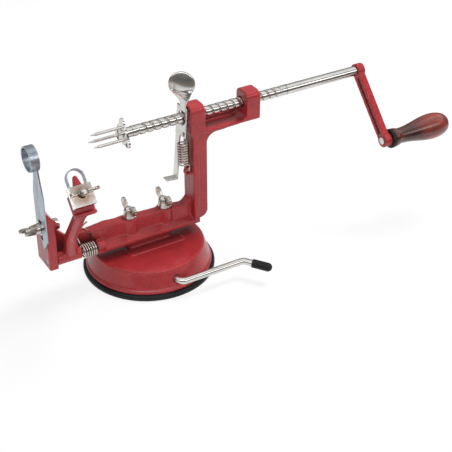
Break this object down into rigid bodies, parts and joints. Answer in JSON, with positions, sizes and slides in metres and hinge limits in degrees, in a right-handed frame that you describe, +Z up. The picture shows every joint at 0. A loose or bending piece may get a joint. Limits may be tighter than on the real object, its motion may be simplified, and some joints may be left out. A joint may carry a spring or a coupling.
{
  "type": "fruit peeler",
  "caption": "Hand cranked fruit peeler, corer and slicer: a C-shaped red casting on a round suction base, with a threaded feed shaft, fork, sprung peeling arm and coring blade.",
  "frame": {"origin": "centre of the suction pad's flat rim, on the table", "axes": "+X along the feed shaft from the slicing blade to the crank, +Y away from the user, +Z up"},
  "size_m": [0.3737, 0.1292, 0.1637],
  "materials": {
    "red_enamel": "glossy hammered enamel on cast metal",
    "plated_steel": "bright plated",
    "blade_steel": "satin ground blade steel",
    "black_rubber": "satin black",
    "black_plastic": "satin black",
    "dark_wood": "dark red-brown stain under gloss varnish"
  },
  "bodies": {
    "frame": {"frame_casting": "red_enamel", "base_shell": "red_enamel", "suction_pad": "black_rubber", "base_bolts": "plated_steel", "arm_pivot_pin": "plated_steel", "slicer_bolt": "plated_steel", "slicer_washer": "plated_steel", "release_spring": "plated_steel", "arm_spring": "plated_steel"},
    "shaft_carriage": {"snap_ring": "plated_steel"},
    "crankshaft": {"feed_shaft": "plated_steel", "fork_plate": "plated_steel", "fork_prongs": "plated_steel", "crank_arm": "red_enamel", "crank_pin": "plated_steel", "handle_spindle": "plated_steel", "handle_collar": "black_plastic"},
    "handle": {"wood_handle": "dark_wood"},
    "release": {"release_lever": "plated_steel"},
    "swing_arm": {"peel_arm": "red_enamel", "peel_blade": "blade_steel", "blade_clamp": "plated_steel", "clamp_stud": "plated_steel"},
    "clamp_nut": {"clamp_wing_nut": "plated_steel"},
    "suction": {"suction_lever": "plated_steel", "lever_grip": "black_plastic", "lever_clip": "plated_steel"},
    "stud": {"pad_stud": "plated_steel"},
    "slicer": {"slicer_blade": "blade_steel"},
    "slicer_nut": {"slicer_wing_nut": "plated_steel"},
    "left_nut": {"base_wing_nut_left": "plated_steel"},
    "right_nut": {"base_wing_nut_right": "plated_steel"}
  },
  "joints": [
    {"name": "shaft_feed", "type": "slide", "parent": "frame", "child": "shaft_carriage", "axis": [1, 0, 0], "range_m": [-0.06601, 0.04001]},
    {"name": "crank_spin", "type": "hinge", "parent": "shaft_carriage", "child": "crankshaft", "pos_m": [0, 0, 0.125], "axis": [1, 0, 0], "range_deg": [-3655, 2215]},
    {"name": "handle_spin", "type": "hinge", "parent": "crankshaft", "child": "handle", "pos_m": [0.24, -0.04337, 0.07849], "axis": [1, 0, 0], "continuous": true},
    {"name": "release_tilt", "type": "hinge", "parent": "frame", "child": "release", "pos_m": [0.0354, 0, 0.136], "axis": [0, 1, 0], "range_deg": [0, 8], "stiffness_Nm_per_rad": 0.6, "springref_deg": -11.46, "deforming": ["release_spring"]},
    {"name": "arm_swing", "type": "hinge", "parent": "frame", "child": "swing_arm", "pos_m": [-0.07, -0.0085, 0.0378], "axis": [1, 0, 0], "range_deg": [-11, 35], "stiffness_Nm_per_rad": 1, "deforming": ["arm_spring"]},
    {"name": "suction_turn", "type": "hinge", "parent": "frame", "child": "suction", "pos_m": [0, -0.03, 0.0135], "axis": [0, -1, 0], "range_deg": [0, 180]},
    {"name": "pad_lift", "type": "slide", "parent": "frame", "child": "stud", "axis": [0, 0, 1], "range_m": [0, 0.0031]},
    {"name": "slicer_slide", "type": "slide", "parent": "frame", "child": "slicer", "axis": [0, 0, 1], "range_m": [0, 0.006]},
    {"name": "slicer_nut_turn", "type": "hinge", "parent": "frame", "child": "slicer_nut", "pos_m": [-0.1, -0.0055, 0.0675], "axis": [-1, 0, 0], "range_deg": [0, 180]},
    {"name": "clamp_nut_turn", "type": "hinge", "parent": "swing_arm", "child": "clamp_nut", "pos_m": [-0.0735, -0.04768, 0.11463], "axis": [0, -0.7604, 0.6494], "range_deg": [0, 180]},
    {"name": "left_nut_turn", "type": "hinge", "parent": "frame", "child": "left_nut", "pos_m": [-0.0155, 0, 0.053], "axis": [0, 0, 1], "range_deg": [0, 180]},
    {"name": "right_nut_turn", "type": "hinge", "parent": "frame", "child": "right_nut", "pos_m": [0.0155, 0, 0.053], "axis": [0, 0, 1], "range_deg": [0, 180]}
  ],
  "couplings": [
    {"joint": "shaft_feed", "follows": "crank_spin", "m_per_rad": 0.0010345},
    {"joint": "pad_lift", "follows": "suction_turn", "m_per_rad": 0.00095493}
  ]
}
